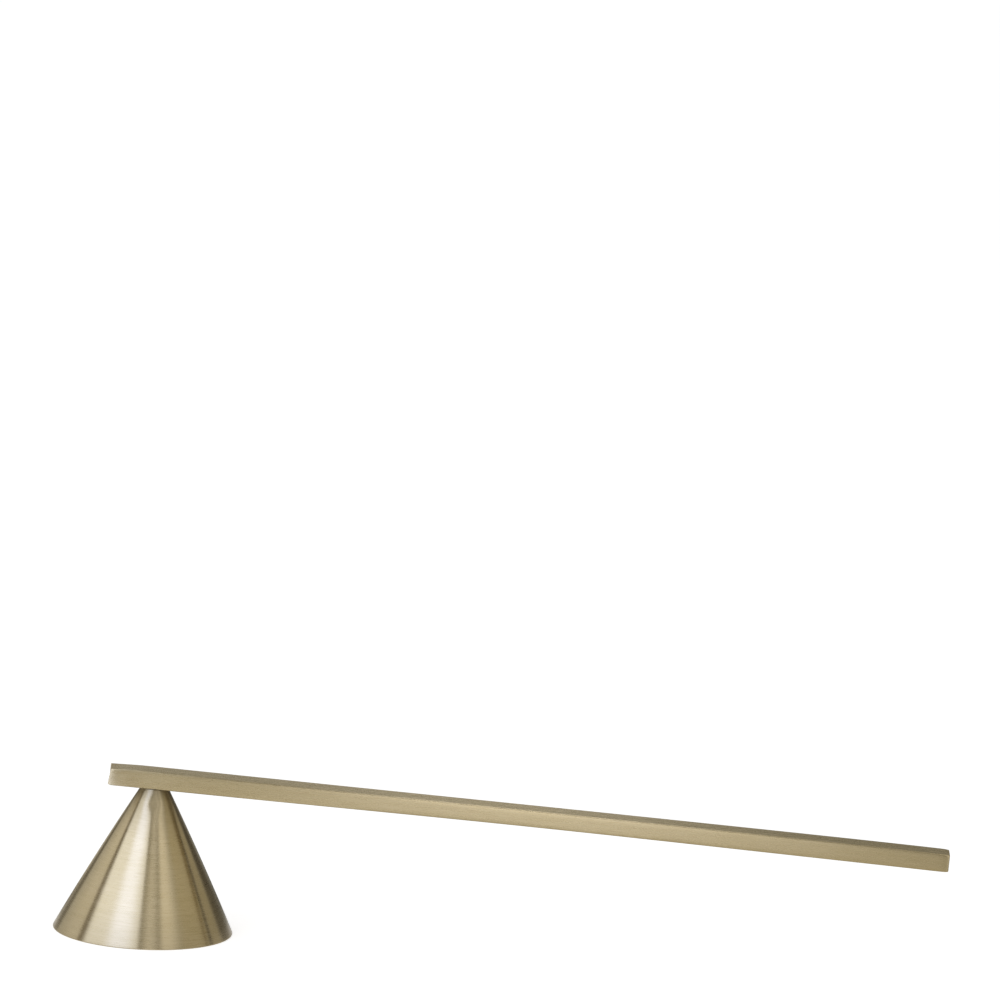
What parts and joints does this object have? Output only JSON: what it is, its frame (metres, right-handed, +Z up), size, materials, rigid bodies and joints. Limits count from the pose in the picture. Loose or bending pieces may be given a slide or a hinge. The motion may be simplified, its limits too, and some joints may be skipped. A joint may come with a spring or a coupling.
{
  "type": "candle snuffer",
  "caption": "Candle snuffer: a hollow brass cone, open downwards, screwed under one end of a long flat brass bar that is its handle.",
  "frame": {"origin": "centre of the cone's mouth, in the plane of its lower edge", "axes": "+Z up from the mouth to the bar, +X along the bar towards the end that is held, Y across the bar"},
  "size_m": [0.2117, 0.0428, 0.0392],
  "materials": {
    "brushed_bar": "brushed",
    "brushed_cone": "brushed",
    "turned_brass": "turned",
    "screw_steel": "satin"
  },
  "bodies": {
    "root": {"handle_bar": "brushed_bar", "snuffer_cone": "brushed_cone", "tip_plug": "turned_brass", "screw_washer": "screw_steel", "fixing_screw": "screw_steel"}
  },
  "joints": []
}
